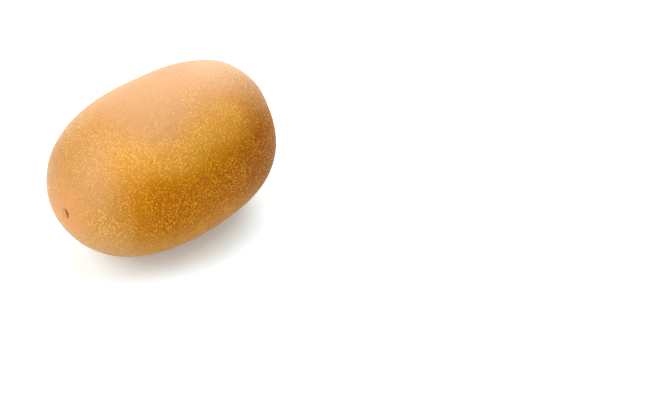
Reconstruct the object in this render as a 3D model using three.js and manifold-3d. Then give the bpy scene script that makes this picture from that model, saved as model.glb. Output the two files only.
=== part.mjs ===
// Golden kiwi fruit: one whole fruit with its skin on, lying on its side.
//
// Millimetres, +Z up. +X runs along the fruit, from the stem scar to the
// blossom end. The origin is on the resting surface, under the middle of
// the fruit's box.

import * as THREE from 'three';
import { mergeVertices } from 'three/addons/utils/BufferGeometryUtils.js';
import Module from 'manifold-3d';

// ---- Driving dimensions ----------------------------------------------

// The grown body, before its blossom end leans and its underside presses flat.
const HALF_LENGTH = 39;
const HALF_HEIGHT = 25.4;
const WIDTH_PER_HEIGHT = 1.02;

// How the body departs from a plain ellipsoid: the first fills both ends
// out into a barrel, the other two make the blossom end the blunter one.
const BARREL = 0.52;
const BLUNT = 0.15;
const TAPER = 0.01;

// The blossom end is cut off a little askew: each millimetre to the side
// or up moves its tip this far along the fruit.
const SIDE_LEAN = 0.16;
const UP_LEAN = -0.034;

// How far the underside is pressed in where the fruit lies, and the side of
// the block that presses it, in half lengths of the fruit.
const REST_DEPTH = 0.35;
const BLOCK_PER_LENGTH = 4;

// The pit where the stem broke away.
const STEM_PIT_RADIUS = 1.6;
const STEM_FLOOR_RADIUS = 1.05;
const STEM_PIT_DEPTH = 0.7;

// The dimple at the blossom end, with the low button of the dried styles.
const BLOSSOM_DIMPLE_RADIUS = 3.6;
const BLOSSOM_FLOOR_RADIUS = 2.5;
const BLOSSOM_BUTTON_RADIUS = 1.5;
const BLOSSOM_DIMPLE_DEPTH = 0.55;
const BLOSSOM_BUTTON_RISE = 0.3;

// Fineness of the turned body, and how far its rings keep from a pit's rim.
const STATIONS = 36;
const SIDES = 56;
const RIM_CLEARANCE = 1;

const SKIN = new THREE.MeshStandardMaterial({
  color: 0xc88a3a,
  roughness: 0.55,
  metalness: 0,
});

// ---- The body's profile ----------------------------------------------

// Radius of the body at a station from -1, the stem tip, to +1, the blossom tip.
function bodyRadius(station) {
  const ellipsoid = 1 - station ** 2;
  const fullness = 1 + TAPER * station + BARREL * station ** 2 + BLUNT * station ** 3;
  return HALF_HEIGHT * Math.sqrt(ellipsoid * fullness);
}

// How far the body's surface falls back from its tip at a small radius.
function tipFall(radius, end) {
  const fullness = 1 + end * TAPER + BARREL + end * BLUNT;
  const tipCurve = (HALF_HEIGHT ** 2 * fullness) / HALF_LENGTH;
  return radius ** 2 / (2 * tipCurve);
}

// A profile point: the radius, and the place along the fruit measured in
// from the tip at one end (-1 or +1).
function tipPoint(radius, depth, end) {
  return new THREE.Vector2(radius, end * (HALF_LENGTH - depth));
}

function stemPitProfile() {
  return [
    tipPoint(0, STEM_PIT_DEPTH, -1),
    tipPoint(STEM_FLOOR_RADIUS, STEM_PIT_DEPTH, -1),
    tipPoint(STEM_PIT_RADIUS, tipFall(STEM_PIT_RADIUS, -1), -1),
  ];
}

function blossomDimpleProfile() {
  const buttonDepth = BLOSSOM_DIMPLE_DEPTH - BLOSSOM_BUTTON_RISE;
  return [
    tipPoint(BLOSSOM_DIMPLE_RADIUS, tipFall(BLOSSOM_DIMPLE_RADIUS, 1), 1),
    tipPoint(BLOSSOM_FLOOR_RADIUS, BLOSSOM_DIMPLE_DEPTH, 1),
    tipPoint(BLOSSOM_BUTTON_RADIUS, BLOSSOM_DIMPLE_DEPTH, 1),
    tipPoint(0, buttonDepth, 1),
  ];
}

// Stations are spaced evenly in angle, so they crowd towards the round ends.
// Those at the pit and the dimple are left out, as each has its own profile.
function bodyProfile() {
  const points = [];
  for (let step = 1; step < STATIONS; step += 1) {
    const station = -Math.cos((Math.PI * step) / STATIONS);
    const radius = bodyRadius(station);
    const rim = station < 0 ? STEM_PIT_RADIUS : BLOSSOM_DIMPLE_RADIUS;
    if (radius > rim + RIM_CLEARANCE) {
      points.push(new THREE.Vector2(radius, HALF_LENGTH * station));
    }
  }
  return points;
}

// ---- The fruit's solid -----------------------------------------------

// The profile turned about the fruit's length, made slightly oval, with the
// blossom end leaned.
function fruitGeometry() {
  const profile = [...stemPitProfile(), ...bodyProfile(), ...blossomDimpleProfile()];
  const geometry = new THREE.LatheGeometry(profile, SIDES);
  geometry.rotateZ(-Math.PI / 2);
  geometry.scale(1, WIDTH_PER_HEIGHT, 1);
  const position = geometry.attributes.position;
  for (let i = 0; i < position.count; i += 1) {
    const along = position.getX(i);
    const towardsBlossom = Math.max(along / HALF_LENGTH, 0) ** 2;
    const lean = SIDE_LEAN * position.getY(i) + UP_LEAN * position.getZ(i);
    position.setX(i, along + towardsBlossom * lean);
  }
  return geometry;
}

// A block whose top is the surface that the fruit lies on.
function restingBlock() {
  const size = BLOCK_PER_LENGTH * HALF_LENGTH;
  const block = new THREE.BoxGeometry(size, size, size);
  block.translate(0, 0, REST_DEPTH - HALF_HEIGHT - size / 2);
  return block;
}

const wasm = await Module();
wasm.setup();

// A closed geometry as a solid, with its shared corners joined and the
// triangles that close up at the turning axis dropped.
function solidOf(geometry) {
  geometry.deleteAttribute('normal');
  geometry.deleteAttribute('uv');
  const merged = mergeVertices(geometry);
  const corners = merged.index.array;
  const triangles = [];
  for (let i = 0; i < corners.length; i += 3) {
    const [a, b, c] = corners.slice(i, i + 3);
    if (a !== b && b !== c && c !== a) {
      triangles.push(a, b, c);
    }
  }
  return new wasm.Manifold(new wasm.Mesh({
    numProp: 3,
    vertProperties: merged.attributes.position.array,
    triVerts: new Uint32Array(triangles),
  }));
}

function geometryOf(solid) {
  const mesh = solid.getMesh();
  const geometry = new THREE.BufferGeometry();
  geometry.setAttribute('position', new THREE.BufferAttribute(mesh.vertProperties, mesh.numProp));
  geometry.setIndex(new THREE.BufferAttribute(mesh.triVerts, 1));
  geometry.computeVertexNormals();
  return geometry;
}

function kiwiFruit() {
  const pressed = solidOf(fruitGeometry()).subtract(solidOf(restingBlock()));
  const geometry = geometryOf(pressed);
  geometry.computeBoundingBox();
  const middle = geometry.boundingBox.getCenter(new THREE.Vector3());
  geometry.translate(-middle.x, -middle.y, -geometry.boundingBox.min.z);
  const fruit = new THREE.Mesh(geometry, SKIN);
  fruit.name = 'kiwi_fruit';
  return fruit;
}

const model = new THREE.Group();
model.add(kiwiFruit());

export default model;
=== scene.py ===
"""A whole golden kiwi fruit lying on its side on a pale studio floor.

The file is laid out as a Blender add-on and is run as a script. Everything
is in metres, +Z up. +X runs along the fruit, from the stem scar to the
blossom end, and the fruit lies on the plane z = 0.
"""

import math
import random

import bmesh
import bpy
from bpy.props import FloatProperty, FloatVectorProperty, IntProperty, PointerProperty
from mathutils import Matrix, Vector, noise


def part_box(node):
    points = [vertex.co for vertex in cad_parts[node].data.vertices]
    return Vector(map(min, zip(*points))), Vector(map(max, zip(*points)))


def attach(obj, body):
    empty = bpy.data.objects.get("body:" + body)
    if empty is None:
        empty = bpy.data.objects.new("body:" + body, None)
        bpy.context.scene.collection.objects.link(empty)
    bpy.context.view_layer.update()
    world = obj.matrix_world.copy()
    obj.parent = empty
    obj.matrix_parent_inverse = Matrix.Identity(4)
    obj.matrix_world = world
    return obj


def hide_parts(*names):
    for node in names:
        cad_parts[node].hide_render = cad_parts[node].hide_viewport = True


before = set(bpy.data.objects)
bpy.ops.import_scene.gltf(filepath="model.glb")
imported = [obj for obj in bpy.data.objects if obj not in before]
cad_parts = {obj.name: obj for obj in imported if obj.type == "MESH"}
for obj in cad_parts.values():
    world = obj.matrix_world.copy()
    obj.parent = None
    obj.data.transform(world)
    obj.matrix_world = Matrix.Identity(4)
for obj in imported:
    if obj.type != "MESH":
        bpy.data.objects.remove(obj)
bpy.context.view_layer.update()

bl_info = {
    "name": "Golden kiwi fruit",
    "version": (1, 0, 0),
    "blender": (4, 5, 0),
    "location": "3D View > Sidebar > Kiwi",
    "description": "Builds a golden kiwi fruit and a small studio around it",
    "category": "Object",
}

MM = 0.001
NODE = "kiwi_fruit"

FRUIT_LOW, FRUIT_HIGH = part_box(NODE)
FRUIT_SIZE = FRUIT_HIGH - FRUIT_LOW


# ---- Sizes and colours a user would change ---------------------------


def length(name, description, default):
    return FloatProperty(
        name=name, description=description, default=default, unit="LENGTH", precision=5
    )


def share(name, description, default):
    return FloatProperty(name=name, description=description, default=default)


def count(name, description, default):
    return IntProperty(name=name, description=description, default=default, min=1)


def turn(name, description, degrees):
    return FloatProperty(
        name=name, description=description, default=math.radians(degrees), subtype="ANGLE"
    )


def colour(name, description, default):
    return FloatVectorProperty(
        name=name, description=description, default=default, size=3, subtype="COLOR",
        min=0.0, max=1.0,
    )


class KiwiShape(bpy.types.PropertyGroup):
    """Sizes of the grown body and of its two ends."""

    half_length: length("Half length", "From the body's middle to either tip", 39 * MM)
    rest_depth: length("Rest depth", "How far the underside is pressed in", 0.35 * MM)
    rest_softness: length("Rest softness", "Rounding around the pressed spot", 0.25 * MM)
    barrel: share("Barrel", "Fills both ends out into a barrel", 0.52)
    blunt: share("Blunt", "Makes the blossom end the blunter one", 0.15)
    taper: share("Taper", "Leans the fullness towards the blossom end", 0.01)
    side_lean: share("Side lean", "Slant of the blossom end across the fruit", 0.16)
    up_lean: share("Up lean", "Slant of the blossom end upwards", -0.034)
    shoulder: length("Shoulder", "Extra fullness above the blossom end", 0.7 * MM)
    swell: length("Swell", "Height of the broad unevenness", 0.3 * MM)
    swell_span: length("Swell span", "Width of the broad unevenness", 24 * MM)
    dimpling: length("Dimpling", "Height of the small unevenness", 0.045 * MM)
    dimpling_span: length("Dimpling span", "Width of the small unevenness", 5 * MM)
    scar_radius: length("Scar radius", "The disc where the stem broke away", 1.45 * MM)
    scar_depth: length("Scar depth", "Depth of the scar's torn side", 0.42 * MM)
    scar_bearing: turn("Scar bearing", "Which side of the scar is torn and dark", 165)
    dimple_radius: length("Dimple radius", "The dimple at the blossom end", 4.2 * MM)
    dimple_depth: length("Dimple depth", "Depth of the blossom end's dimple", 0.6 * MM)
    pucker_depth: length("Pucker depth", "Depth of the folds at the blossom end", 0.16 * MM)
    puckers: count("Puckers", "Folds that run into the blossom end", 17)
    styles: count("Styles", "Dry style stubs left at the blossom end", 26)


class KiwiSkin(bpy.types.PropertyGroup):
    """Colours and fine pattern of the skin, painted light and shade among them."""

    ground: colour("Ground", "The skin between its dots", (0.57, 0.21, 0.005))
    tan: colour("Tan", "The pinker patches of the skin", (0.62, 0.248, 0.022))
    olive: colour("Olive", "The yellower patches of the skin", (0.55, 0.228, 0.002))
    # Painted shade: a deeper gold low on the near flank.
    painted_shade: colour("Deep", "The deeper gold of the flanks", (0.465, 0.118, 0.0))
    # Painted shade: a browner near flank by the blossom end.
    brown: colour("Brown", "The browner flank by the blossom end", (0.35, 0.084, 0.0))
    # Painted light: a paler band above the flanks.
    light: colour("Light", "The paler band above the flanks", (0.74, 0.295, 0.013))
    # Painted sheen: a paler, pinker top.
    painted_sheen: colour("Blush", "The smoother, pinker top", (0.65, 0.308, 0.107))
    # Painted reflected light: paler, bluer skin by the stem and underneath.
    painted_reflection: colour("Haze", "The duller skin by the stem and underneath", (0.58, 0.262, 0.067))
    dot: colour("Dot", "The pale raised dots", (0.90, 0.54, 0.145))
    # Lit and shaded copies of the dot, for the dots under the painted light band, the painted
    # shade and the browner painted shade.
    dot_in_painted_light: colour("Light dot", "The dots on the paler band", (1.0, 0.61, 0.12))
    dot_in_painted_shade: colour("Deep dot", "The dots on the deeper gold flanks", (0.93, 0.435, 0.008))
    dot_in_brown_shade: colour("Brown dot", "The dots on the browner flank", (0.82, 0.365, 0.02))
    peach: colour("Peach", "The smooth skin around the stem scar", (0.715, 0.268, 0.058))
    fleck: colour("Fleck", "The small brown flecks", (0.38, 0.105, 0.008))
    cork: colour("Cork", "Dry torn tissue of the scars", (0.24, 0.058, 0.005))
    cork_pale: colour("Pale cork", "Dry tissue where it is worn", (0.42, 0.20, 0.06))
    dot_spacing: length("Dot spacing", "Distance between the larger dots", 0.68 * MM)
    fine_spacing: length("Fine spacing", "Distance between the finer dots", 0.46 * MM)
    fleck_spacing: length("Fleck spacing", "Distance between the brown flecks", 1.3 * MM)
    dot_height: length("Dot height", "How far a dot stands proud", 0.05 * MM)


class KiwiStudio(bpy.types.PropertyGroup):
    """The camera, the lights and the floor."""

    azimuth: turn("Azimuth", "The camera's bearing around the fruit", -47.2)
    elevation: turn("Elevation", "The camera's height above the floor", 35)
    distance: length("Distance", "From the camera to the fruit's middle", 488.5 * MM)
    right: length("Right", "How far right of the fruit the camera aims", 48.9 * MM)
    below: length("Below", "How far below the fruit the camera aims", 13.0 * MM)
    lens: share("Lens", "Focal length in millimetres on a 36 mm sensor", 88.8)
    floor_size: length("Floor size", "Side of the square floor", 6.0)
    floor_colour: colour("Floor", "Colour of the floor", (0.81, 0.94, 1.0))
    floor_glow: share("Floor glow", "Strength of the light from the table itself", 0.15)
    near_floor: length("Near floor", "Where the floor starts to fade to white", 0.3)
    far_floor: length("Far floor", "Where the floor has faded to white", 1.2)
    floor_lift: share("Floor lift", "How much whiter the floor looks than it lights", 0.10)
    box_distance: length("Box distance", "From the fruit's middle to each softbox", 0.9)
    box_size: length("Box size", "Side of each square softbox", 0.6)


# ---- The fruit's body ------------------------------------------------

BALL_LEVELS = 7
# Where the ball is made finer, as shares of its radius out from a tip: at both
# ends, and then at the stem end alone, for its smaller scar.
FINER_BOTH_ENDS = (0.29, 0.21)
FINER_STEM_END = 0.085
# Which way the fuller shoulder faces on the ball, and how near that way a place
# must face to be part of it, as a cosine.
SHOULDER_SIDE = Vector((0.84, 0.02, 0.53)).normalized()
SHOULDER_EDGE = 0.88
# Where each noise over the whole body is read, so that no two of them match.
SWELL_DRAW = Vector((3.1, 0.7, 5.2))
DIMPLING_DRAW = Vector((8.4, 2.6, 1.9))
BROAD_EDGE_DRAW = Vector((6.3, 1.4, 9.7))
SMALL_EDGE_DRAW = Vector((2.2, 7.5, 4.1))


def smooth_step(low, high, value):
    """0 at low, 1 at high and a smooth change between them. Low may be the larger."""
    t = min(max((value - low) / (high - low), 0.0), 1.0)
    return t * t * (3 - 2 * t)


def hump(centre, width, value):
    """A smooth bump, 1 at the centre and 0 at a width to either side."""
    return 1 - smooth_step(0, width, abs(value - centre))


def varied(amount, unevenness):
    """An amount, given as its base and how much it varies, at a noise from -1 to 1."""
    base, change = amount
    return base + change * unevenness


def refine(bm, reach, ends):
    """Halves the edges within reach of the tips on the given sides."""
    def near(vert):
        return math.hypot(vert.co.y, vert.co.z) < reach and any(
            vert.co.x * end > 0 for end in ends
        )

    edges = [edge for edge in bm.edges if all(near(vert) for vert in edge.verts)]
    bmesh.ops.subdivide_edges(bm, edges=edges, cuts=1, use_grid_fill=True)
    bmesh.ops.triangulate(bm, faces=[face for face in bm.faces if len(face.verts) > 3])


def unit_ball():
    """An even ball of radius 1, finer around its two tips on X."""
    bm = bmesh.new()
    bmesh.ops.create_icosphere(bm, subdivisions=BALL_LEVELS, radius=1)
    for reach in FINER_BOTH_ENDS:
        refine(bm, reach, ends=(-1, 1))
    refine(bm, FINER_STEM_END, ends=(-1,))
    for vert in bm.verts:
        vert.co.normalize()
    return bm


def grow_body(bm, shape):
    """Stretches the ball into the fruit: a barrel with one blunter, leaning end."""
    half_height = (FRUIT_SIZE.z + shape.rest_depth) / 2
    half_width = FRUIT_SIZE.y / 2
    for vert in bm.verts:
        station, across, up = vert.co
        fullness = (
            1 + shape.taper * station + shape.barrel * station**2 + shape.blunt * station**3
        )
        swell = math.sqrt(fullness)
        y = half_width * swell * across
        z = half_height * swell * up
        lean = max(station, 0) ** 2 * (shape.side_lean * y + shape.up_lean * z)
        fuller = smooth_step(SHOULDER_EDGE, 1, vert.co.dot(SHOULDER_SIDE))
        bulge = shape.shoulder * fuller * vert.co
        vert.co = Vector((shape.half_length * station + lean, y, z)) + bulge


def roughen_body(bm, shape):
    """Adds the slight unevenness of something grown."""
    bm.normal_update()
    moves = []
    for vert in bm.verts:
        broad = noise.noise(vert.co / shape.swell_span + SWELL_DRAW)
        small = noise.noise(vert.co / shape.dimpling_span + DIMPLING_DRAW)
        moves.append(vert.normal * (shape.swell * broad + shape.dimpling * small))
    for vert, move in zip(bm.verts, moves):
        vert.co += move


def press_underside(bm, shape):
    """Flattens the underside softly where the fruit lies."""
    floor = min(vert.co.z for vert in bm.verts) + shape.rest_depth
    for vert in bm.verts:
        above = vert.co.z - floor
        vert.co.z = floor + (above + math.hypot(above, shape.rest_softness)) / 2


# ---- The skin's tones ------------------------------------------------

# Masks kept on the body's vertices for its material. Several are painted light and shade: a
# painted shade low on the flank, a browner painted shade by the blossom end, a painted light
# band above them, a painted sheen on the top and painted reflected light by the stem and
# underneath.
LAYERS = ("cork", "worn", "peach", "painted_shade", "brown", "light", "smooth", "sparse", "painted_reflection")

# The noises that break the tones' edges up: how wide they are, and how far they move
# an edge, as a share of the body's height.
BROAD_EDGE_SPAN, BROAD_EDGE = 17 * MM, 0.045
SMALL_EDGE_SPAN, SMALL_EDGE = 5 * MM, 0.015

# Each tone's edges, as where it starts and where it is full. Some lie along the
# fruit, on X.
SHADE_FROM_STEM = (-37 * MM, -20 * MM)
BROWN_SHADE_TO_BLOSSOM = (-4 * MM, 22 * MM)
BLOSSOM_TIP = (22 * MM, 32 * MM)
BAND_FROM_BLOSSOM = (26 * MM, 10 * MM)
SPARSE_TO_STEM = (-22 * MM, -35 * MM)
# Some lie along it too, but slant by this much for each millimetre across.
STEM_SLANT = 0.6
BAND_FROM_STEM = (-34 * MM, -14 * MM)
REFLECTION_TO_STEM = (-16 * MM, -32 * MM)
# One lies across it, on Y: the painted shade, the browner painted shade and the painted light
# band are strongest on the near side, which faces the camera. The far side has this share of
# the near side's tones.
NEAR_SIDE = (8 * MM, -8 * MM)
FAR_SIDE_SHARE = 0.45
# The rest are heights, as shares of the body's height.
UNDERNEATH = (0.46, 0.12)
SHADE_HEIGHT = (0.85, 0.58)
BROWN_SHADE_HEIGHT = (0.94, 0.66)
HIGH_UP = (0.50, 0.68)
PAINTED_SHEEN_TOP = (0.82, 1.02)
BAND_HEIGHT, BAND_WIDTH = 0.84, 0.20

# How much of the painted shade is lost underneath, and of the browner painted shade at the
# blossom's tip.
SHADE_LOSS = 0.6
BROWN_SHADE_LOSS = 0.6
# How strong the painted light band is, as its base and how much it varies, and the most that
# the sparse dots and the painted reflected light come to.
BAND_STRENGTH = (0.85, 0.2)
SPARSE_MOST = 0.55
REFLECTION_MOST = 0.75


def tone_body(bm, layers):
    """Marks where each tone lies: painted shade in gold and brown on the flanks, a painted
    light band above them, a top with a painted sheen, fewer dots by the stem, and painted
    reflected light by the stem and underneath."""
    low, high = (choose(vert.co.z for vert in bm.verts) for choose in (min, max))
    for vert in bm.verts:
        along, across, up = vert.co
        broad = noise.noise(vert.co / BROAD_EDGE_SPAN + BROAD_EDGE_DRAW)
        small = noise.noise(vert.co / SMALL_EDGE_SPAN + SMALL_EDGE_DRAW)
        height = (up - low) / (high - low) + BROAD_EDGE * broad + SMALL_EDGE * small
        slanted = along - STEM_SLANT * across
        side = FAR_SIDE_SHARE + (1 - FAR_SIDE_SHARE) * smooth_step(*NEAR_SIDE, across)
        underneath = smooth_step(*UNDERNEATH, height)
        high_up = smooth_step(*HIGH_UP, height)

        # Painted shade: a deeper gold low on the flank, weaker underneath.
        gold = smooth_step(*SHADE_FROM_STEM, along) * smooth_step(*SHADE_HEIGHT, height)
        vert[layers["painted_shade"]] = side * gold * (1 - SHADE_LOSS * underneath)
        # Painted shade: browner low on the flank towards the blossom end, less at its tip.
        brown = smooth_step(*BROWN_SHADE_TO_BLOSSOM, along) * smooth_step(*BROWN_SHADE_HEIGHT, height)
        brown *= 1 - BROWN_SHADE_LOSS * smooth_step(*BLOSSOM_TIP, along)
        vert[layers["brown"]] = side * brown
        # Painted light: a paler band above the painted shade.
        band = hump(BAND_HEIGHT, BAND_WIDTH, height)
        band *= smooth_step(*BAND_FROM_STEM, slanted) * smooth_step(*BAND_FROM_BLOSSOM, along)
        vert[layers["light"]] = side * band * varied(BAND_STRENGTH, small)
        # The top, which takes a painted sheen and fewer dots.
        vert[layers["smooth"]] = smooth_step(*PAINTED_SHEEN_TOP, height)
        vert[layers["sparse"]] = SPARSE_MOST * high_up * smooth_step(*SPARSE_TO_STEM, along)
        # Painted reflected light: paler, bluer skin on the stem's shoulder and underneath.
        stem_shoulder = high_up * smooth_step(*REFLECTION_TO_STEM, slanted)
        vert[layers["painted_reflection"]] = REFLECTION_MOST * max(stem_shoulder, underneath)


# ---- The fruit's two ends --------------------------------------------

# Rings about the stem scar, as where each starts and where it is full, except that
# the lip has a middle and a width. The first two are shares of the scar's radius, and
# the others of its ragged rim.
SCAR_REACH = 9
SCAR_PEACH = (8.5, 2)
SCAR_DISC = (1.08, 0.78)
SCAR_STAIN = (1.35, 0.95)
SCAR_LIP, SCAR_LIP_WIDTH = 1.18, 0.42
# Edges that cross the scar, towards its torn side and upwards.
TORN_EDGE = (0, 0.6)
STAINED_EDGE = (-0.05, 0.45)
WORN_EDGE = (-0.2, 0.6)
# How ragged its rim and its torn edge are, and how wide the noises behind them are.
RIM_RAGGED, RIM_TURNS = 0.14, 2.3
TORN_RAGGED, TORN_SPAN = 0.25, 0.35 * MM
# Shares of its depth: of the whole disc, the torn side, the torn tissue and the lip.
DISC_DEPTH, TORN_DEPTH, TISSUE_DEPTH, LIP_RISE = 0.35, 0.65, 0.08, 0.16

# Rings about the blossom end, in the same way, as shares of its dimple's radius.
BLOSSOM_REACH = 2.4
DISH = (1, 0.25)
BUTTON = (0.42, 0.1)
FOLDS_FROM = (0.3, 0.5)
FOLDS_UNTIL, FOLDS_GONE = 0.7, 1.5
CORK_RING, CORK_RING_WIDTH = 0.5, 0.22
# How uneven the folds are around it, how far they wander, and the noises' spans.
UNEVEN_TURNS, FOLD_UNEVEN, FOLD_WANDER = 4.5, 2.5, 3
WANDER_SPAN, TISSUE_SPAN = 2.5 * MM, 0.6 * MM
# How much of the dimple the button fills, and how rough its floor is.
BUTTON_RISE = 0.5
DISH_ROUGHNESS = 0.07 * MM
# How deep the folds run, how much cork their creases and the ring hold, and how worn
# the dimple is, each as its base and how much it varies.
FOLD_DEPTH = (0.6, 0.8)
CREASE = (0.5, 1)
CREASE_CORK = 0.35
RING_CORK = (0.45, 0.9)
DISH_WORN = (0.7, 0.8)
# Where the noises around each end are read, so that they don't match.
SCAR_DRAW, BLOSSOM_DRAW = 0.4, Vector((0, 0, 7.3))


def polar(vert):
    """Distance from the fruit's axis, and bearing about it."""
    return math.hypot(vert.co.y, vert.co.z), math.atan2(vert.co.z, vert.co.y)


def carve_stem_scar(bm, shape, layers):
    """The scar the stem left: a shallow disc with a dark torn crescent on one side,
    and the smooth skin around it."""
    radius = shape.scar_radius
    torn_side = Vector((math.cos(shape.scar_bearing), math.sin(shape.scar_bearing)))
    for vert in bm.verts:
        out, bearing = polar(vert)
        if vert.co.x > 0 or out > SCAR_REACH * radius:
            continue
        around = Vector((math.cos(bearing), math.sin(bearing), SCAR_DRAW))
        fine = noise.noise(vert.co / TORN_SPAN)
        rim = radius * (1 + RIM_RAGGED * noise.noise(around * RIM_TURNS))
        disc = smooth_step(*SCAR_DISC, out / rim)
        torn_way = torn_side.dot((vert.co.y, vert.co.z)) / rim + TORN_RAGGED * fine
        torn = disc * smooth_step(*TORN_EDGE, torn_way)
        lip = hump(SCAR_LIP, SCAR_LIP_WIDTH, out / rim)
        inward = DISC_DEPTH * disc + TORN_DEPTH * torn + TISSUE_DEPTH * fine * disc
        vert.co.x += shape.scar_depth * (inward - LIP_RISE * lip)
        stained = smooth_step(*STAINED_EDGE, torn_way)
        vert[layers["cork"]] = stained * smooth_step(*SCAR_STAIN, out / rim)
        vert[layers["worn"]] = disc * smooth_step(*WORN_EDGE, vert.co.z / rim)
        vert[layers["peach"]] = smooth_step(*SCAR_PEACH, out / radius)


def carve_blossom_end(bm, shape, layers):
    """The puckered dimple where the flower dried off."""
    radius = shape.dimple_radius
    for vert in bm.verts:
        out, bearing = polar(vert)
        if vert.co.x < 0 or out > BLOSSOM_REACH * radius:
            continue
        ring = out / radius
        around = Vector((math.cos(bearing), math.sin(bearing), 0))
        uneven = noise.noise(around * UNEVEN_TURNS + BLOSSOM_DRAW)
        wander = noise.noise(vert.co / WANDER_SPAN)
        fine = noise.noise(vert.co / TISSUE_SPAN)
        dish = smooth_step(*DISH, ring)
        button = smooth_step(*BUTTON, ring)
        turn_about = shape.puckers * bearing + FOLD_WANDER * wander + FOLD_UNEVEN * uneven
        fold = math.cos(turn_about)
        folded = smooth_step(*FOLDS_FROM, ring)
        folded *= smooth_step(FOLDS_GONE + uneven, FOLDS_UNTIL, ring)
        depth = shape.pucker_depth * varied(FOLD_DEPTH, uneven)
        inward = shape.dimple_depth * (dish - BUTTON_RISE * button)
        inward += depth * folded * fold + DISH_ROUGHNESS * fine * dish
        vert.co.x -= inward
        crease = folded * max(0, fold) ** 3 * varied(CREASE, uneven)
        dry = hump(CORK_RING, CORK_RING_WIDTH, ring) * varied(RING_CORK, fine)
        vert[layers["cork"]] = max(0, min(1, CREASE_CORK * crease + dry))
        vert[layers["worn"]] = max(0, min(1, dish * varied(DISH_WORN, wander)))


# ---- The whole body --------------------------------------------------


def fit_to_frame(bm):
    """Brings the body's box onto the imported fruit's box."""
    low = Vector(min(vert.co[i] for vert in bm.verts) for i in range(3))
    high = Vector(max(vert.co[i] for vert in bm.verts) for i in range(3))
    grow = [FRUIT_SIZE[i] / (high[i] - low[i]) for i in range(3)]
    bmesh.ops.translate(bm, verts=bm.verts, vec=-low)
    bmesh.ops.scale(bm, verts=bm.verts, vec=grow)
    bmesh.ops.translate(bm, verts=bm.verts, vec=FRUIT_LOW)


def object_from(bm, name, materials):
    """Closes the bmesh into a smooth, named object at the origin."""
    bmesh.ops.recalc_face_normals(bm, faces=bm.faces)
    for face in bm.faces:
        face.smooth = True
    mesh = bpy.data.meshes.new(name)
    bm.to_mesh(mesh)
    bm.free()
    for material in materials:
        mesh.materials.append(material)
    piece = bpy.data.objects.new(name, mesh)
    bpy.context.scene.collection.objects.link(piece)
    return piece


def make_body(shape, skin):
    """The grown fruit, from a ball to its finished skin."""
    bm = unit_ball()
    layers = {key: bm.verts.layers.float.new(key) for key in LAYERS}
    grow_body(bm, shape)
    roughen_body(bm, shape)
    tone_body(bm, layers)
    press_underside(bm, shape)
    carve_stem_scar(bm, shape, layers)
    carve_blossom_end(bm, shape, layers)
    fit_to_frame(bm)
    return object_from(bm, "kiwi_fruit_skin", [skin_material(skin)])


# ---- Materials -------------------------------------------------------


def add_node(tree, kind, **settings):
    """A node with its own settings. A number or colour for an input is passed by
    the input's name with spaces as underscores."""
    node = tree.nodes.new(kind)
    for key, value in settings.items():
        if hasattr(node, key):
            setattr(node, key, value)
        else:
            node.inputs[key.replace("_", " ")].default_value = value
    return node


def group_tree(name, inputs, outputs):
    """An empty node group with named sockets, and its input and output nodes."""
    tree = bpy.data.node_groups.new(name, "ShaderNodeTree")
    for key, kind, default in inputs:
        socket = tree.interface.new_socket(key, in_out="INPUT", socket_type=kind)
        if default is not None:
            socket.default_value = default
    for key, kind in outputs:
        tree.interface.new_socket(key, in_out="OUTPUT", socket_type=kind)
    return tree, tree.nodes.new("NodeGroupInput"), tree.nodes.new("NodeGroupOutput")


# The part of a dot that is flat on top, as a share of its radius.
DOT_CORE = 0.4


def dots_group():
    """Uneven round dots scattered at a spacing: a soft mask of them."""
    name = "Scattered dots"
    if name in bpy.data.node_groups:
        return bpy.data.node_groups[name]
    tree, given, result = group_tree(
        name,
        [
            ("Vector", "NodeSocketVector", None),
            ("Spacing", "NodeSocketFloat", 0.001),
            ("Radius", "NodeSocketFloat", 0.3),
            ("Wobble", "NodeSocketFloat", 0.3),
        ],
        [("Mask", "NodeSocketFloat")],
    )
    cells_across = add_node(tree, "ShaderNodeVectorMath", operation="DIVIDE")
    ripple = add_node(tree, "ShaderNodeTexNoise", Scale=1.4, Detail=1.0)
    centred = add_node(tree, "ShaderNodeVectorMath", operation="SUBTRACT")
    centred.inputs[1].default_value = (0.5, 0.5, 0.5)
    shift = add_node(tree, "ShaderNodeVectorMath", operation="SCALE")
    shifted = add_node(tree, "ShaderNodeVectorMath", operation="ADD")
    cells = add_node(tree, "ShaderNodeTexVoronoi", feature="F1", Scale=1.0, Randomness=0.95)
    inner = add_node(tree, "ShaderNodeMath", operation="MULTIPLY")
    inner.inputs[1].default_value = DOT_CORE
    mask = add_node(
        tree, "ShaderNodeMapRange", interpolation_type="SMOOTHSTEP", clamp=True
    )
    for source, target in (
        (given.outputs["Vector"], cells_across.inputs[0]),
        (given.outputs["Spacing"], cells_across.inputs[1]),
        (cells_across.outputs["Vector"], ripple.inputs["Vector"]),
        (ripple.outputs["Color"], centred.inputs[0]),
        (centred.outputs["Vector"], shift.inputs[0]),
        (given.outputs["Wobble"], shift.inputs["Scale"]),
        (cells_across.outputs["Vector"], shifted.inputs[0]),
        (shift.outputs["Vector"], shifted.inputs[1]),
        (shifted.outputs["Vector"], cells.inputs["Vector"]),
        (given.outputs["Radius"], inner.inputs[0]),
        (cells.outputs["Distance"], mask.inputs["Value"]),
        (given.outputs["Radius"], mask.inputs["From Min"]),
        (inner.outputs[0], mask.inputs["From Max"]),
        (mask.outputs["Result"], result.inputs["Mask"]),
    ):
        tree.links.new(source, target)
    return tree


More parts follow.
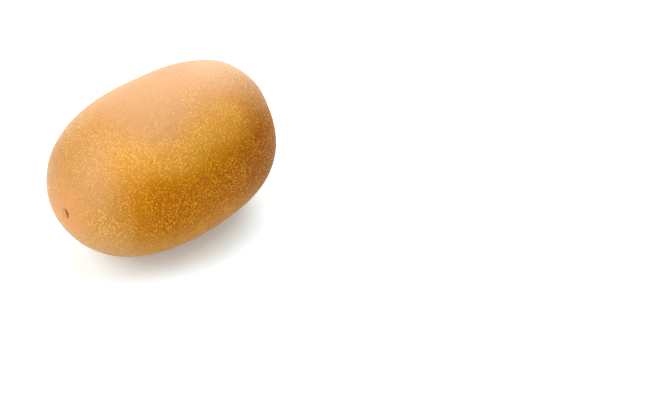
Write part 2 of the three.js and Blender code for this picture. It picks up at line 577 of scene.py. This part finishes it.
def patches_group():
    """Soft uneven patches: a mask from 0 to 1 with a set contrast."""
    name = "Soft patches"
    if name in bpy.data.node_groups:
        return bpy.data.node_groups[name]
    tree, given, result = group_tree(
        name,
        [
            ("Vector", "NodeSocketVector", None),
            ("Span", "NodeSocketFloat", 0.01),
            ("Detail", "NodeSocketFloat", 3.0),
            ("Low", "NodeSocketFloat", 0.4),
            ("High", "NodeSocketFloat", 0.6),
        ],
        [("Mask", "NodeSocketFloat")],
    )
    per_metre = add_node(tree, "ShaderNodeMath", operation="DIVIDE")
    per_metre.inputs[0].default_value = 1.0
    cloud = add_node(tree, "ShaderNodeTexNoise", Roughness=0.55)
    mask = add_node(
        tree, "ShaderNodeMapRange", interpolation_type="SMOOTHSTEP", clamp=True
    )
    tree.links.new(given.outputs["Span"], per_metre.inputs[1])
    tree.links.new(given.outputs["Vector"], cloud.inputs["Vector"])
    tree.links.new(per_metre.outputs[0], cloud.inputs["Scale"])
    tree.links.new(given.outputs["Detail"], cloud.inputs["Detail"])
    tree.links.new(cloud.outputs["Fac"], mask.inputs["Value"])
    tree.links.new(given.outputs["Low"], mask.inputs["From Min"])
    tree.links.new(given.outputs["High"], mask.inputs["From Max"])
    tree.links.new(mask.outputs["Result"], result.inputs["Mask"])
    return tree


class Recipe:
    """A material being put together, node by node."""

    def __init__(self, name):
        self.material = bpy.data.materials.new(name)
        self.material.use_nodes = True
        self.tree = self.material.node_tree
        self.shader = self.tree.nodes["Principled BSDF"]
        self.place = self.tree.nodes.new("ShaderNodeTexCoord").outputs["Object"]

    def link(self, source, target):
        """Leads an output to an input."""
        self.tree.links.new(source, target)

    def group(self, tree, **values):
        """The mask of a node group that is placed by Object coordinates."""
        node = self.tree.nodes.new("ShaderNodeGroup")
        node.node_tree = tree
        for key, value in values.items():
            node.inputs[key].default_value = value
        self.link(self.place, node.inputs["Vector"])
        return node.outputs["Mask"]

    def attribute(self, name):
        """A mask kept on the mesh."""
        return add_node(self.tree, "ShaderNodeAttribute", attribute_name=name).outputs["Fac"]

    def settle(self, **values):
        """Sets constant values on the shader's own inputs, named as add_node says."""
        for key, value in values.items():
            self.shader.inputs[key.replace("_", " ")].default_value = value

    def value(self, operation, first, second, third=None):
        """A sum on numbers or outputs."""
        node = add_node(self.tree, "ShaderNodeMath", operation=operation)
        for socket, given in zip(node.inputs, (first, second, third)):
            if isinstance(given, bpy.types.NodeSocket):
                self.link(given, socket)
            elif given is not None:
                socket.default_value = given
        return node.outputs[0]

    def blend(self, mask, below, above):
        """A colour, with another laid over it where the mask is 1."""
        node = add_node(self.tree, "ShaderNodeMix", data_type="RGBA", clamp_factor=True)
        factor = next(s for s in node.inputs if s.name == "Factor" and s.type == "VALUE")
        low = next(s for s in node.inputs if s.name == "A" and s.type == "RGBA")
        high = next(s for s in node.inputs if s.name == "B" and s.type == "RGBA")
        self.link(mask, factor)
        for socket, given in ((low, below), (high, above)):
            if isinstance(given, bpy.types.NodeSocket):
                self.link(given, socket)
            else:
                socket.default_value = (*given, 1.0)
        return next(s for s in node.outputs if s.type == "RGBA")

    def coat(self, colour, coats):
        """A colour under some coats, from the lowest up. Each says where it lies,
        how strongly, and its colour."""
        for mask, strength, above in coats:
            colour = self.blend(self.part(mask, strength), colour, above)
        return colour

    def part(self, mask, strength):
        """A mask, made weaker or stronger."""
        return self.value("MULTIPLY", mask, strength)

    def strongest(self, *masks):
        """At each place, the strongest of some masks."""
        most, *others = masks
        for mask in others:
            most = self.value("MAXIMUM", most, mask)
        return most

    def ranged(self, mask, low, high):
        """A number that is low where the mask is 0 and high where it is 1."""
        return self.value("MULTIPLY_ADD", mask, high - low, low)

    def raised(self, base, *steps):
        """A number, and for each step what a mask adds to it where it is 1."""
        for mask, step in steps:
            base = self.value("MULTIPLY_ADD", mask, step, base)
        return base


# The skin's roughness, and what its dots, its grain and its cork add to that.
SKIN_ROUGH, DOT_ROUGH, GRAIN_ROUGH, CORK_ROUGH = 0.50, 0.10, 0.06, 0.35
# How high the fine dots and the grain stand, as shares of a larger dot's height.
FINE_RISE, GRAIN_RISE = 0.35, 0.35


def skin_material(skin):
    """Satin golden skin: soft patches, painted light and shade, pale raised dots, and dry
    cork at its ends.
    """
    recipe = Recipe("kiwi skin")
    patches, dots = patches_group(), dots_group()
    broad = recipe.group(patches, Span=15 * MM, Detail=3.0, Low=0.42, High=0.62)
    olive = recipe.group(patches, Span=9 * MM, Detail=4.0, Low=0.48, High=0.66)
    thick = recipe.group(patches, Span=5 * MM, Detail=2.0, Low=0.30, High=0.62)
    grain = recipe.group(patches, Span=0.9 * MM, Detail=2.0, Low=0.30, High=0.70)
    large = recipe.group(dots, Spacing=skin.dot_spacing, Radius=0.47, Wobble=0.6)
    fine = recipe.group(dots, Spacing=skin.fine_spacing, Radius=0.48, Wobble=0.5)
    flecks = recipe.group(dots, Spacing=skin.fleck_spacing, Radius=0.22, Wobble=0.8)
    cork, worn, peach, painted_shade, brown, light, smooth, sparse, painted_reflection = (
        recipe.attribute(key) for key in LAYERS
    )

    # The dots thin out on the top with its painted sheen, by the stem and on worn tissue, and
    # crowd under the painted shade and the painted light band.
    bare = recipe.strongest(recipe.part(smooth, 0.75), peach, sparse, recipe.part(worn, 0.8))
    dotted = recipe.ranged(bare, 1.0, 0.1)
    dotted = recipe.value("MULTIPLY", dotted, recipe.ranged(thick, 0.6, 1.0))
    crowded = recipe.strongest(painted_shade, light)
    dotted = recipe.value("MULTIPLY", dotted, recipe.ranged(crowded, 0.8, 1.0))
    large = recipe.value("MULTIPLY", large, dotted)
    fine = recipe.value("MULTIPLY", fine, dotted)

    # A dot's colour follows the tone around it, so the dots under the painted light band, the
    # painted shade and the browner painted shade are lit and shaded copies of the plain dot.
    # The dots lie over the tones and the flecks, and the ends' dry tissue over the dots.
    dot_coats = (
        (light, 1.0, skin.dot_in_painted_light),
        (painted_shade, 1.6, skin.dot_in_painted_shade),
        (brown, 1.0, skin.dot_in_brown_shade),
    )
    dot = recipe.coat(skin.dot, dot_coats)
    # Among these coats are the painted shade, the browner painted shade, the painted light
    # band, the painted sheen on the top and the painted reflected light.
    coats = (
        (broad, 1.0, skin.tan),
        (olive, 0.6, skin.olive),
        (painted_shade, 1.0, skin.painted_shade),
        (brown, 1.0, skin.brown),
        (light, 1.0, skin.light),
        (smooth, 1.0, skin.painted_sheen),
        (painted_reflection, 1.0, skin.painted_reflection),
        (peach, 0.85, skin.peach),
        (flecks, 0.35, skin.fleck),
        (fine, 0.45, dot),
        (large, 1.0, dot),
        (worn, 0.6, skin.cork_pale),
        (cork, 1.0, skin.cork),
    )
    recipe.link(recipe.coat(skin.ground, coats), recipe.shader.inputs["Base Color"])

    roughness = ((large, DOT_ROUGH), (grain, GRAIN_ROUGH), (cork, CORK_ROUGH))
    recipe.link(recipe.raised(SKIN_ROUGH, *roughness), recipe.shader.inputs["Roughness"])

    bump = add_node(recipe.tree, "ShaderNodeBump", Strength=1.0, Distance=skin.dot_height)
    height = recipe.raised(large, (fine, FINE_RISE), (grain, GRAIN_RISE))
    recipe.link(height, bump.inputs["Height"])
    recipe.link(bump.outputs["Normal"], recipe.shader.inputs["Normal"])

    # The bloom on the skin is a soft coat, worn off the cork and the flecks, and taken off
    # under the painted shade on the flanks so that it stays dark.
    dull = recipe.strongest(recipe.part(painted_shade, 1.8), cork, recipe.part(flecks, 0.8))
    bloom = recipe.value("MAXIMUM", recipe.value("SUBTRACT", 1.0, dull), 0.0)
    recipe.link(bloom, recipe.shader.inputs["Coat Weight"])
    recipe.settle(
        Specular_IOR_Level=0.06, Sheen_Weight=0.05, Sheen_Roughness=0.3, Coat_Roughness=0.55
    )
    return recipe.material


def cork_material(skin):
    """Dry brown tissue of the stubs at the blossom end."""
    recipe = Recipe("dry cork")
    patches = patches_group()
    shade = recipe.group(patches, Span=0.7 * MM, Detail=3.0, Low=0.35, High=0.7)
    recipe.link(
        recipe.blend(shade, skin.cork, skin.cork_pale), recipe.shader.inputs["Base Color"]
    )
    recipe.settle(Roughness=0.8)
    return recipe.material


# ---- The dry stubs at the blossom end --------------------------------

STUB_SEED = 11
STUB_SIDES = 7
# Where along a stub it can bend, and how near a cut joins a corner that is there.
STUB_JOINTS = (0.25, 0.5, 0.75)
STUB_SNAP = 1e-5 * MM
# How tall and how thick at the root a stub may be, and its tip as a share of that.
STUB_HEIGHTS = (0.5 * MM, 1.1 * MM)
STUB_RADII = (0.13 * MM, 0.22 * MM)
STUB_TIP = 0.5
# How far a stub bends and leans either way, and how far all of them splay outwards,
# as shares of how far they stand out.
STUB_BENDS = (-0.5, 0.5)
STUB_LEANS = (-0.5, 0.5)
STUB_SPLAY = 0.8
# How far its middle stands above the skin, as a share of its height.
STUB_STAND = 0.2
# Where the stubs are rooted, as shares of the dimple's radius, how far they stray
# around it in radians, and how far off the fruit a root is looked for from.
STUB_RING = (0.28, 0.52)
STUB_STRAY = 0.1
STUB_SEARCH = 10 * MM


def add_stub(ring, draw, base, outward):
    """One bent, tapering stub, rooted a little below the skin."""
    tall = draw.uniform(*STUB_HEIGHTS)
    thick = draw.uniform(*STUB_RADII)
    bend = draw.uniform(*STUB_BENDS)
    lean = Vector((1, draw.uniform(*STUB_LEANS), draw.uniform(*STUB_LEANS)))
    lean += STUB_SPLAY * outward
    turned = Matrix.Rotation(draw.uniform(0, math.tau), 3, "Z")
    bm = bmesh.new()
    bmesh.ops.create_cone(
        bm, cap_ends=True, segments=STUB_SIDES, radius1=thick, radius2=STUB_TIP * thick,
        depth=tall, matrix=Matrix.Identity(4),
    )
    for share_up in STUB_JOINTS:
        bmesh.ops.bisect_plane(
            bm, geom=[*bm.verts, *bm.edges, *bm.faces], dist=STUB_SNAP,
            plane_co=(0, 0, (share_up - 0.5) * tall), plane_no=(0, 0, 1),
        )
    for vert in bm.verts:
        rise = vert.co.z / tall + 0.5
        vert.co.x += bend * tall * rise**2
    facing = lean.to_track_quat("Z", "Y").to_matrix() @ turned
    bmesh.ops.rotate(bm, verts=bm.verts, cent=(0, 0, 0), matrix=facing)
    middle = base + lean.normalized() * STUB_STAND * tall
    bmesh.ops.translate(bm, verts=bm.verts, vec=middle)
    mesh = bpy.data.meshes.new("stub")
    bm.to_mesh(mesh)
    bm.free()
    ring.from_mesh(mesh)
    bpy.data.meshes.remove(mesh)


def make_stubs(shape, skin, body):
    """A loose ring of dry style stubs in the blossom end's dimple."""
    draw = random.Random(STUB_SEED)
    ring = bmesh.new()
    middle = (FRUIT_LOW + FRUIT_HIGH) / 2
    for index in range(shape.styles):
        stray = draw.uniform(-STUB_STRAY, STUB_STRAY)
        bearing = math.tau * index / shape.styles + stray
        out = shape.dimple_radius * draw.uniform(*STUB_RING)
        outward = Vector((0, math.cos(bearing), math.sin(bearing)))
        start = Vector((FRUIT_HIGH.x + STUB_SEARCH, middle.y, middle.z)) + out * outward
        hit, base = body.ray_cast(start, Vector((-1, 0, 0)))[:2]
        if not hit:
            raise RuntimeError("a stub's root misses the fruit")
        add_stub(ring, draw, base, outward)
    return object_from(ring, "blossom_stubs", [cork_material(skin)])


# ---- The studio ------------------------------------------------------


def bearing_vector(azimuth, elevation):
    """Unit vector from the fruit towards a bearing. Azimuth 0 is the -Y side."""
    return Vector(
        (
            math.sin(azimuth) * math.cos(elevation),
            -math.cos(azimuth) * math.cos(elevation),
            math.sin(elevation),
        )
    )


def add_softbox(studio, name, side, elevation, watts, target):
    """A square soft light, aimed at the target. Its side is its bearing from the
    camera's, in degrees."""
    light = bpy.data.lights.new(name, "AREA")
    light.shape = "SQUARE"
    light.size = studio.box_size
    light.energy = watts
    lamp = bpy.data.objects.new(name, light)
    towards = bearing_vector(studio.azimuth + math.radians(side), math.radians(elevation))
    lamp.location = target + studio.box_distance * towards
    lamp.rotation_mode = "QUATERNION"
    lamp.rotation_quaternion = towards.to_track_quat("Z", "Y")
    lamp.visible_camera = False
    bpy.context.scene.collection.objects.link(lamp)
    return lamp


# Each softbox: its name, its bearing from the camera's, its height in degrees
# above the floor and its power in watts.
SOFTBOXES = (
    ("left_box", -60, 45, 5.0),
    ("back_box", 165, 45, 3.1),
    ("low_back_box", 165, 15, 3.8),
    ("low_left_box", -150, 15, 2.0),
    ("top_box", 75, 72, 3.9),
    ("low_front_box", -35, 25, 2.2),
    ("right_box", 30, 45, 0.9),
)


# How light the floor's slightly darker clouds are, as a share of its colour.
FLOOR_CLOUDS = 0.985
# The camera's, in millimetres.
SENSOR_WIDTH = 36


def make_floor(studio):
    """A pale floor with its own faint glow, which fades to plain white far away."""
    bm = bmesh.new()
    bmesh.ops.create_grid(bm, x_segments=1, y_segments=1, size=studio.floor_size / 2)
    recipe = Recipe("pale floor")
    clouds = recipe.group(patches_group(), Span=0.4, Detail=2.0, Low=0.3, High=0.7)
    soft = [FLOOR_CLOUDS * part for part in studio.floor_colour]
    recipe.link(
        recipe.blend(clouds, soft, studio.floor_colour), recipe.shader.inputs["Base Color"]
    )
    recipe.settle(Roughness=0.9, Specular_IOR_Level=0.1, Emission_Color=(1, 1, 1, 1))
    seen = recipe.tree.nodes.new("ShaderNodeLightPath").outputs["Is Camera Ray"]
    away = add_node(recipe.tree, "ShaderNodeVectorMath", operation="LENGTH")
    recipe.link(recipe.place, away.inputs[0])
    faded = add_node(recipe.tree, "ShaderNodeMapRange", interpolation_type="SMOOTHSTEP")
    faded.inputs["From Min"].default_value = studio.near_floor
    faded.inputs["From Max"].default_value = studio.far_floor
    faded.inputs["To Min"].default_value = studio.floor_lift
    recipe.link(away.outputs["Value"], faded.inputs["Value"])
    recipe.link(
        recipe.value("MULTIPLY_ADD", seen, faded.outputs["Result"], studio.floor_glow),
        recipe.shader.inputs["Emission Strength"],
    )
    floor = object_from(bm, "studio_floor", [recipe.material])
    return floor


def make_camera(studio, target):
    """A camera on the studio's bearing, which sees the target off its middle."""
    back = bearing_vector(studio.azimuth, studio.elevation)
    right = Vector((math.cos(studio.azimuth), math.sin(studio.azimuth), 0))
    up = back.cross(right)
    camera = bpy.data.objects.new("studio_camera", bpy.data.cameras.new("studio_camera"))
    camera.data.sensor_width = SENSOR_WIDTH
    camera.data.lens = studio.lens
    camera.location = (
        target + studio.distance * back + studio.right * right - studio.below * up
    )
    camera.rotation_mode = "QUATERNION"
    camera.rotation_quaternion = back.to_track_quat("Z", "Y")
    bpy.context.scene.collection.objects.link(camera)
    bpy.context.scene.camera = camera
    return camera


def make_sky():
    """A plain white backdrop that is only seen, and lights nothing."""
    world = bpy.data.worlds.new("studio sky")
    world.use_nodes = True
    tree = world.node_tree
    seen = tree.nodes.new("ShaderNodeLightPath").outputs["Is Camera Ray"]
    tree.nodes["Background"].inputs["Color"].default_value = (1, 1, 1, 1)
    tree.links.new(seen, tree.nodes["Background"].inputs["Strength"])
    bpy.context.scene.world = world


# ---- Operators, panel and registration -------------------------------


class KIWI_OT_fruit(bpy.types.Operator):
    """Grow the fruit's body, with its skin, stem scar and blossom end"""

    bl_idname = "kiwi.fruit"
    bl_label = "Fruit"

    def execute(self, context):
        scene = context.scene
        body = make_body(scene.kiwi_shape, scene.kiwi_skin)
        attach(body, "root")
        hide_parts(NODE)
        return {"FINISHED"}


class KIWI_OT_stubs(bpy.types.Operator):
    """Set the dry style stubs into the blossom end"""

    bl_idname = "kiwi.stubs"
    bl_label = "Blossom stubs"

    def execute(self, context):
        scene = context.scene
        body = bpy.data.objects["kiwi_fruit_skin"]
        context.view_layer.update()
        stubs = make_stubs(scene.kiwi_shape, scene.kiwi_skin, body)
        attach(stubs, "root")
        return {"FINISHED"}


class KIWI_OT_studio(bpy.types.Operator):
    """Set up the floor, the soft lights and the camera"""

    bl_idname = "kiwi.studio"
    bl_label = "Studio"

    def execute(self, context):
        studio = context.scene.kiwi_studio
        target = (FRUIT_LOW + FRUIT_HIGH) / 2
        make_floor(studio)
        make_sky()
        make_camera(studio, target)
        for name, side, elevation, watts in SOFTBOXES:
            add_softbox(studio, name, side, elevation, watts, target)
        context.scene.view_settings.view_transform = "Standard"
        return {"FINISHED"}


class KIWI_PT_panel(bpy.types.Panel):
    """Lists the fruit's operators and settings"""

    bl_label = "Golden kiwi fruit"
    bl_idname = "KIWI_PT_panel"
    bl_space_type = "VIEW_3D"
    bl_region_type = "UI"
    bl_category = "Kiwi"

    def draw(self, context):
        for operator in OPERATORS:
            self.layout.operator(operator.bl_idname)
        for name in SETTINGS:
            column = self.layout.column()
            settings = getattr(context.scene, name)
            for key in settings.__annotations__:
                column.prop(settings, key)


OPERATORS = (KIWI_OT_fruit, KIWI_OT_stubs, KIWI_OT_studio)
SETTINGS = {"kiwi_shape": KiwiShape, "kiwi_skin": KiwiSkin, "kiwi_studio": KiwiStudio}
CLASSES = (*SETTINGS.values(), *OPERATORS, KIWI_PT_panel)


def register():
    for cls in CLASSES:
        bpy.utils.register_class(cls)
    for name, settings in SETTINGS.items():
        setattr(bpy.types.Scene, name, PointerProperty(type=settings))


def unregister():
    for name in SETTINGS:
        delattr(bpy.types.Scene, name)
    for cls in reversed(CLASSES):
        bpy.utils.unregister_class(cls)


def main():
    """Builds the studio and the fruit."""
    register()
    bpy.ops.kiwi.studio()
    bpy.ops.kiwi.fruit()
    bpy.ops.kiwi.stubs()


if __name__ == "__main__":
    main()
